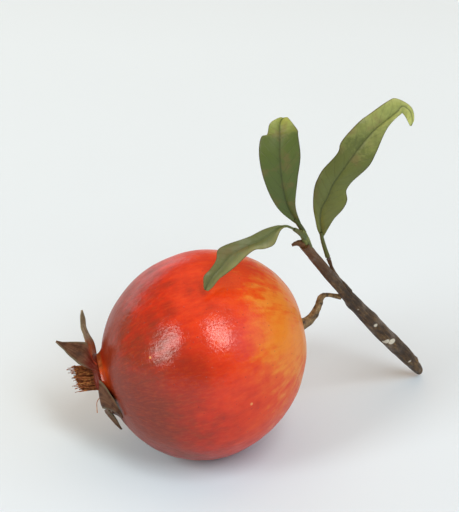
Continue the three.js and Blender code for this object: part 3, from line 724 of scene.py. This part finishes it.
# %% Rind: the yellow cheek, the two dusky cheeks, and the orange neck with painted shade below
# Each cheek is a place in the fruit, how far it reaches, its colour and how strongly it covers.
CHEEKS = [
    ((0.63, -0.07, -0.78), 0.02, 0.56, "#dd821c", 0.95),
    ((0.62, -0.28, 0.73), 0.15, 0.62, "#6c2414", 0.8),
    ((0.96, -0.11, 0.17), 0.06, 0.34, "#8a200c", 0.7),
]
for centre, near, far, colour, most in CHEEKS:
    away = add(tree, "VectorMath", (place, centre), operation="DISTANCE")[0]
    away = add(tree, "Math", (streak, 0.3, away), operation="MULTIPLY_ADD")[0]
    away = add(tree, "Math", (cloud, 0.4, away), operation="MULTIPLY_ADD")[0]
    away = add(tree, "Math", (away, 0.35), operation="SUBTRACT")[0]
    share = add(tree, "MapRange", (away, near, far, most, 0.0))[0]
    skin = add(tree, "Mix", (share, skin, shade(colour)))[0]
neck = add(tree, "MapRange", (along, 0.885, 0.935, 0.0, 0.95))[0]
# The neck is orange-red and darker red at its top. Its lower side is painted near black: painted shadow
# under the sepal below it.
neck_colour_and_painted_shade = add(tree, "Math", (cloud, 0.3, upward), operation="MULTIPLY_ADD")[0]
NECK_WITH_PAINTED_SHADE = [(0.0, "#34140a"), (0.14, "#7a240a"), (0.28, "#b5400f"), (0.42, "#8a200a")]
neck_colour_and_painted_shade = add(tree, "ValToRGB", {"Fac": neck_colour_and_painted_shade}, stops=NECK_WITH_PAINTED_SHADE)[0]
root_tone = add(tree, "ValToRGB", {"Fac": fibre}, stops=[(0.35, "#5e2a12"), (0.65, "#a2582a")])[0]
sepal_root = add(tree, "MapRange", (along, 0.942, 0.965))[0]
above = add(tree, "MapRange", (upward, 0.12, 0.2))[0]
sepal_root = add(tree, "Math", (sepal_root, above), operation="MULTIPLY")[0]
neck_colour_and_painted_shade = add(tree, "Mix", (sepal_root, neck_colour_and_painted_shade, root_tone))[0]
skin = add(tree, "Mix", (neck, skin, neck_colour_and_painted_shade))[0]

# %% Rind: flecks and fibres
glow = add(tree, "MapRange", (fibre, 0.42, 0.75, 0.0, 0.14))[0]
skin = add(tree, "Mix", (glow, skin, shade("#e0601c")))[0]
fleck_map = add(tree, "Mapping", {"Vector": line, "Location": (5, 3, 2), "Scale": (11, 11, 5)})[0]
fleck = add(tree, "TexNoise", {"Vector": fleck_map, "Scale": 1.6, "Detail": 7.0, "Roughness": 0.7})[0]
fleck = add(tree, "MapRange", (fleck, 0.46, 0.74, 0.0, 0.2))[0]
skin = add(tree, "Mix", (fleck, skin, shade("#a8300c")))[0]

# %% Rind: pores
# Pores lie 2 mm apart, and only some of them have gone dark.
pores = add(tree, "TexVoronoi", {"Vector": place, "Scale": 21.0})
chance = add(tree, "SeparateColor", {"Color": pores[1]})
chosen = add(tree, "Math", (chance[0], 0.62), operation="GREATER_THAN")[0]
dot = add(tree, "MapRange", (pores[0], 0.07, 0.15, 1.0, 0.0))[0]
pore = add(tree, "Math", (dot, chosen), operation="MULTIPLY")[0]
dark = add(tree, "Math", (pore, 0.5), operation="MULTIPLY")[0]
skin = add(tree, "Mix", (dark, skin, shade("#4f241c")))[0]

# %% Rind: healed specks
# Each is a pale speck with a dark middle, given as its direction in the fruit and its reach.
SPECKS = [((0.79, -0.54, -0.30), 0.020), ((0.86, 0.15, 0.47), 0.012), ((0.70, -0.62, 0.36), 0.011)]
for centre, reach in SPECKS:
    away = add(tree, "VectorMath", (place, Vector(centre).normalized()), operation="DISTANCE")[0]
    ring = add(tree, "MapRange", (away, 0.8 * reach, 1.3 * reach, 0.8, 0.0))[0]
    skin = add(tree, "Mix", (ring, skin, shade("#dda25e")))[0]
    middle = add(tree, "MapRange", (away, 0.25 * reach, 0.5 * reach, 0.9, 0.0))[0]
    skin = add(tree, "Mix", (middle, skin, shade("#57301c")))[0]
tree.links.new(skin, shader.inputs["Base Color"])

# %% Rind: wax and relief
rough = add(tree, "MapRange", (cloud, 0.3, 0.7, 0.3, 0.44))[0]
tree.links.new(rough, shader.inputs["Roughness"])
peel = add(tree, "TexNoise", {"Vector": place, "Scale": 24.0, "Detail": 4.0, "Roughness": 0.6})[0]
peel = add(tree, "Math", (pore, -0.7, peel), operation="MULTIPLY_ADD")[0]
bump = add(tree, "Bump", {"Height": peel, "Strength": 0.38, "Distance": 0.0005})[0]
tree.links.new(bump, shader.inputs["Normal"])
tree.links.new(bump, shader.inputs["Coat Normal"])

# %% [markdown]
# The crown and the stamens
#
# A dry sepal is leathery. Some are dark red-brown, the bleached ones are grey with a green tint, and
# each has a grey rim. The roots, and the tube that they stand on, are still red, and orange-brown under
# the palest sepal. The stamens are rust brown and quite matt.

# %% Sepals: dry leathery tissue
# To the eye: a dull soft sheen over fine lengthwise wrinkles, and a rim that catches the light.
tree, shader = new_finish("dry_leathery_sepal", crown, IOR=1.4, Specular_IOR_Level=0.3)
blade = add(tree, "Attribute", attribute_name="on_blade")[1]
place = add(tree, "Attribute", attribute_name="lies_at")[1]
bleached = add(tree, "Attribute", attribute_name="bleached")[2]
root_reach = add(tree, "Attribute", attribute_name="root_reach")[2]
side, way, _ = add(tree, "SeparateXYZ", {"Vector": blade})
wrinkle_map = add(tree, "Mapping", {"Vector": blade, "Scale": (7, 1.2, 0)})[0]
wrinkle = add(tree, "TexNoise", {"Vector": wrinkle_map, "Scale": 2.0, "Detail": 5.0})[0]
mottle = add(tree, "TexNoise", {"Vector": place, "Scale": 16.0, "Detail": 4.0})[0]
tone = add(tree, "Math", (wrinkle, mottle), operation="ADD")[0]
tone = add(tree, "MapRange", (tone, 0.7, 1.3))[0]
RED_BROWN = [(0.0, "#2e1408"), (0.5, "#46200d"), (1.0, "#5c361c")]
GREY = [(0.0, "#5c5340"), (0.5, "#8e846a"), (1.0, "#b4ac94")]
red_brown = add(tree, "ValToRGB", {"Fac": tone}, stops=RED_BROWN)[0]
grey = add(tree, "ValToRGB", {"Fac": tone}, stops=GREY)[0]
skin = add(tree, "Mix", (bleached, red_brown, grey))[0]
rim = add(tree, "Math", (side,), operation="ABSOLUTE")[0]
rim = add(tree, "MapRange", (rim, 0.74, 0.98, 0.0, 0.7))[0]
skin = add(tree, "Mix", (rim, skin, shade("#6a6550")))[0]
root_start = add(tree, "Math", (root_reach, 0.4), operation="MULTIPLY")[0]
root = add(tree, "MapRange", (way, root_start, root_reach, 0.9, 0.0))[0]
orange_root = add(tree, "Math", (bleached, 3.0), operation="POWER")[0]
orange_root = add(tree, "Math", (root, orange_root), operation="MULTIPLY")[0]
skin = add(tree, "Mix", (root, skin, shade("#5e1a0c")))[0]
skin = add(tree, "Mix", (orange_root, skin, shade("#a85826")))[0]
red_rim = add(tree, "Math", (1.0, bleached), operation="SUBTRACT")[0]
red_rim = add(tree, "Math", (red_rim, 4.0), operation="POWER")[0]
red_rim = add(tree, "Math", (red_rim, add(tree, "MapRange", (side, 0.6, 0.95))[0]), operation="MULTIPLY")[0]
red_rim = add(tree, "Math", (red_rim, root), operation="MULTIPLY")[0]
skin = add(tree, "Mix", (red_rim, skin, shade("#a83c20")))[0]
stain = add(tree, "MapRange", (mottle, 0.55, 0.75, 0.0, 0.5))[0]
skin = add(tree, "Mix", (stain, skin, shade("#3a2218")))[0]
tree.links.new(skin, shader.inputs["Base Color"])
gloss = add(tree, "MapRange", (way, 0.05, 0.4, 0.35, 0.6))[0]
tree.links.new(gloss, shader.inputs["Roughness"])
bump = add(tree, "Bump", {"Height": tone, "Strength": 0.5, "Distance": 0.0005})[0]
tree.links.new(bump, shader.inputs["Normal"])

# %% Stamens: dry rusty threads
# To the eye: matt, with light threads over dark gaps.
tree, shader = new_finish("dry_rusty_stamen", stamens, Roughness=0.85)
spot = add(tree, "TexCoord")[3]
tone = add(tree, "TexNoise", {"Vector": spot, "Scale": 800.0, "Detail": 3.0})[0]
skin = add(tree, "ValToRGB", {"Fac": tone}, stops=[(0.3, "#50260c"), (0.5, "#8c4a1c"), (0.7, "#b87e42")])[0]
tree.links.new(skin, shader.inputs["Base Color"])
bump = add(tree, "Bump", {"Height": tone, "Strength": 0.4, "Distance": 0.0002})[0]
tree.links.new(bump, shader.inputs["Normal"])

# %% [markdown]
# Bark
#
# Young pomegranate bark is grey-brown and finely furrowed along the stem. It is redder near the green
# end, shines a little in patches, and has pale chips where it was knocked off. The furrows are noise
# drawn out along the twig, so the pattern is first turned until its long way lies along the wood.

# %% Bark: furrowed young wood
# To the eye: dark furrows 1 mm apart, a grey film in patches, and a low sheen, which the leaves share.
WOOD_WAY = Vector((55.5, 48.5, -92.5)).normalized()
turned = WOOD_WAY.rotation_difference(Vector((0, 0, 1))).to_euler()
SATIN = {"Coat_Weight": 0.06, "Coat_Roughness": 0.33, "Specular_IOR_Level": 0.3}
tree, shader = new_finish("furrowed_young_bark", twig, **SATIN)
spot = add(tree, "TexCoord")[3]
upright = add(tree, "Mapping", {"Vector": spot, "Rotation": turned})[0]
drawn = add(tree, "Mapping", {"Vector": upright, "Scale": (1, 1, 0.22)})[0]
furrow = add(tree, "TexNoise", {"Vector": drawn, "Scale": 1100.0, "Detail": 6.0, "Roughness": 0.65})[0]
patch = add(tree, "TexNoise", {"Vector": drawn, "Scale": 260.0, "Detail": 4.0})[0]
tone = add(tree, "Math", (patch, 0.7, furrow), operation="MULTIPLY_ADD")[0]
tone = add(tree, "MapRange", (tone, 0.55, 1.15))[0]
WOOD = [(0.0, "#26190d"), (0.4, "#3b2914"), (0.7, "#523b1e"), (1.0, "#745a36")]
skin = add(tree, "ValToRGB", {"Fac": tone}, stops=WOOD)[0]
height = add(tree, "SeparateXYZ", {"Vector": spot})[2]
redder = add(tree, "MapRange", (height, 0.066, 0.09, 0.0, 0.6))[0]
skin = add(tree, "Mix", (redder, skin, shade("#623c1c")))[0]
bloom = add(tree, "TexNoise", {"Vector": spot, "Scale": 120.0, "Detail": 3.0})[0]
film = add(tree, "MapRange", (bloom, 0.54, 0.68, 0.0, 0.4))[0]
skin = add(tree, "Mix", (film, skin, shade("#705f4e")))[0]

# %% Bark: pale chips
# Each chip is (place, reach) in mm: bare wood where a bit of bark has come off.
CHIPS = [
    ((77.2, 31.4, 29.6), 1.9),
    ((79.4, 32.3, 28.6), 2.1),
    ((71.5, 26.1, 40.8), 1.7),
    ((63.8, 20.0, 52.5), 1.0),
    ((88.5, 40.2, 13.9), 1.0),
]
for centre, reach in CHIPS:
    away = add(tree, "VectorMath", (spot, Vector(centre) * MM), operation="DISTANCE")[0]
    away = add(tree, "Math", (bloom, 3.0 * MM, away), operation="MULTIPLY_ADD")[0]
    chip = add(tree, "MapRange", (away, (reach + 1.2) * MM, (reach + 1.5) * MM, 0.9, 0.0))[0]
    skin = add(tree, "Mix", (chip, skin, shade("#d4cebc")))[0]
tree.links.new(skin, shader.inputs["Base Color"])
print(len(CHIPS), "chips on the twig")
gloss = add(tree, "MapRange", (bloom, 0.4, 0.65, 0.62, 0.4))[0]
tree.links.new(gloss, shader.inputs["Roughness"])
bump = add(tree, "Bump", {"Height": tone, "Strength": 0.6, "Distance": 0.0005})[0]
tree.links.new(bump, shader.inputs["Normal"])

# %% Stalk and shoot: thin young bark
# To the eye: dull, with darker and paler spots about 2 mm across. The stalk is tan, the shoot green.
YOUNG_BARK = [
    ("thin_tan_stalk_bark", stalk, ["#332617", "#705937", "#998259"]),
    ("young_green_bark", shoot, ["#363b1c", "#58602e", "#7c8444"]),
]
for name, piece, (dark, middle, pale) in YOUNG_BARK:
    tree, shader = new_finish(name, piece, Roughness=0.58, IOR=1.45)
    spot = add(tree, "TexCoord")[3]
    tone = add(tree, "TexNoise", {"Vector": spot, "Scale": 480.0, "Detail": 6.0, "Roughness": 0.65})[0]
    skin = add(tree, "ValToRGB", {"Fac": tone}, stops=[(0.34, dark), (0.5, middle), (0.66, pale)])[0]
    tree.links.new(skin, shader.inputs["Base Color"])
    bump = add(tree, "Bump", {"Height": tone, "Strength": 0.6, "Distance": 0.0005})[0]
    tree.links.new(bump, shader.inputs["Normal"])

# %% [markdown]
# Leaf skin
#
# The leaves are olive, lighter and yellower towards their tips. The midrib is a fine dark groove, side
# veins leave it at a slant about every 3 mm, and the edge is a thin dark line. Each point of a blade
# carries its share across and along the blade and its distance from the midrib in mm, so the veins
# follow the leaf.

# %% Leaves: satin leaf with side veins
VEIN_SPACING = 3.0
VEIN_SLANT = 0.8


def leaf_finish(name, piece, length, greens, rib_share, painted_light_strip=0.0):
    """The finish of one leaf. greens go from its base to its tip, and length is in mm. painted_light_strip
    paints one half of the blade paler, as painted light.
    """
    # To the eye: a soft satin shine that follows the waves, and veins that show only close by.
    tree, shader = new_finish(name, piece, **SATIN)
    blade = add(tree, "Attribute", attribute_name="on_blade")[1]
    spot = add(tree, "TexCoord")[3]
    side, way, off_rib = add(tree, "SeparateXYZ", {"Vector": blade})
    mottle = add(tree, "TexNoise", {"Vector": spot, "Scale": 120.0, "Detail": 5.0, "Roughness": 0.6})[0]
    cells = add(tree, "TexNoise", {"Vector": spot, "Scale": 700.0, "Detail": 3.0})[0]
    ripe = add(tree, "Math", (way, 0.8), operation="MULTIPLY")[0]
    ripe = add(tree, "Math", (mottle, 0.38, ripe), operation="MULTIPLY_ADD")[0]
    ripe = add(tree, "Math", (cells, 0.15, ripe), operation="MULTIPLY_ADD")[0]
    skin = add(tree, "ValToRGB", {"Fac": ripe}, stops=list(zip((0.22, 0.66, 1.0), greens)))[0]
    tan = add(tree, "MapRange", (mottle, 0.52, 0.68, 0.0, 0.5))[0]
    skin = add(tree, "Mix", (tan, skin, shade("#665534")))[0]

    slant = add(tree, "Math", (off_rib, -VEIN_SLANT / length, way), operation="MULTIPLY_ADD")[0]
    beat = add(tree, "Math", (slant, 2 * math.pi * length / VEIN_SPACING), operation="MULTIPLY")[0]
    beat = add(tree, "Math", (beat,), operation="SINE")[0]
    vein = add(tree, "MapRange", (beat, 0.86, 1.0))[0]
    faint = add(tree, "Math", (vein, 0.14), operation="MULTIPLY")[0]
    skin = add(tree, "Mix", (faint, skin, shade("#454a28")))[0]
    # Painted light: one half of the blade is painted paler, where light falls on it. The strip argument
    # says how much.
    lit_side = add(tree, "MapRange", (side, -0.3, -0.8, 0.0, painted_light_strip))[0]
    skin = add(tree, "Mix", (lit_side, skin, shade("#908d58")))[0]
    midrib = add(tree, "MapRange", (off_rib, 0.15, 0.6, rib_share, 0.0))[0]
    skin = add(tree, "Mix", (midrib, skin, shade("#333b1a")))[0]
    edge = add(tree, "Math", (side,), operation="ABSOLUTE")[0]
    edge = add(tree, "MapRange", (edge, 0.93, 0.99, 0.0, 0.7))[0]
    skin = add(tree, "Mix", (edge, skin, shade("#403620")))[0]
    tree.links.new(skin, shader.inputs["Base Color"])

    gloss = add(tree, "MapRange", (mottle, 0.35, 0.65, 0.38, 0.55))[0]
    tree.links.new(gloss, shader.inputs["Roughness"])
    relief = add(tree, "Math", (vein, -0.5, mottle), operation="MULTIPLY_ADD")[0]
    bump = add(tree, "Bump", {"Height": relief, "Strength": 0.4, "Distance": 0.0005})[0]
    tree.links.new(bump, shader.inputs["Normal"])


leaf_finish("satin_upright_leaf", leaf_upright, 47, ["#455325", "#4b5a25", "#8f9a4a"], 0.6)
leaf_finish("satin_tall_leaf", leaf_tall, 66, ["#6a7038", "#57602c", "#a9b264"], 0.55)
leaf_finish("satin_drooping_leaf", leaf_drooping, 47, ["#545f34", "#545d34", "#5c5f34"], 0.25, painted_light_strip=0.38)

# %% [markdown]
# Light and floor
#
# Two tall soft boxes stand at the left and in front, and the rind shows them as two soft upright
# panels. A wide, slightly blue box at the right softens the shadows, and a warm panel overhead makes
# them a little beige. A low panel behind lays the pale sheen along the fruit's upper left. The room
# is a pale warm grey, and the floor is a little cool, which keeps its open parts white.

# %% Floor
FLOOR_REACH = 4
bm = bmesh.new()
bmesh.ops.create_grid(bm, x_segments=1, y_segments=1, size=FLOOR_REACH)
floor_mesh = bpy.data.meshes.new("floor")
bm.to_mesh(floor_mesh)
bm.free()
floor = bpy.data.objects.new("floor", floor_mesh)
scene.collection.objects.link(floor)
# Matt paper. To the eye: an even white ground. It is painted paler and bluer towards the back, as painted
# light.
tree, shader = new_finish("pale_paper", floor, Roughness=0.85)
spot = add(tree, "TexCoord")[3]
clouds = add(tree, "TexNoise", {"Vector": spot, "Scale": 9.0, "Detail": 3.0})[0]
paler_to_back_painted_light = add(tree, "SeparateXYZ", {"Vector": spot})[1]
paler_to_back_painted_light = add(tree, "Math", (clouds, 0.08, paler_to_back_painted_light), operation="MULTIPLY_ADD")[0]
# Painted light: the paper's colour grows paler and bluer towards the back.
skin = add(tree, "ValToRGB", {"Fac": paler_to_back_painted_light}, stops=[(0.0, "#cfe1ec"), (0.45, "#dcf1fd")])[0]
tree.links.new(skin, shader.inputs["Base Color"])


# %% Lights
def soft_box(name, way, distance, wide, high, watts, colour):
    """A rectangular lamp that looks at the fruit from that way."""
    lamp = bpy.data.lights.new(name, "AREA")
    lamp.shape = "RECTANGLE"
    lamp.size, lamp.size_y = wide, high
    lamp.energy = watts
    lamp.color = shade(colour)[:3]
    holder = bpy.data.objects.new(name, lamp)
    way = Vector(way).normalized()
    holder.location = CENTRE * MM + way * distance
    holder.rotation_euler = way.to_track_quat("Z", "Y").to_euler()
    scene.collection.objects.link(holder)
    print(name, "gives", watts, "W")


soft_box("soft_box_left", (-0.70, -0.49, 0.54), 1.8, 0.56, 1.0, 17.0, "#fcf8f4")
soft_box("soft_box_front", (0.29, -0.54, 0.79), 1.8, 0.42, 1.10, 17.0, "#fcf8f4")
soft_box("soft_box_right", (0.77, -0.34, 0.55), 1.8, 1.8, 1.5, 8.4, "#c0daff")
soft_box("ceiling_panel", (0.0, 0.30, 0.95), 2.2, 2.4, 2.4, 16.2, "#ffbf95")
soft_box("low_panel_behind", (-0.55, 0.80, 0.20), 1.7, 1.6, 0.6, 5.5, "#f4f6ff")
world = bpy.data.worlds.new("pale_room")
world.use_nodes = True
world.node_tree.nodes["Background"].inputs["Color"].default_value = shade("#ffedd2")
world.node_tree.nodes["Background"].inputs["Strength"].default_value = 0.37
scene.world = world
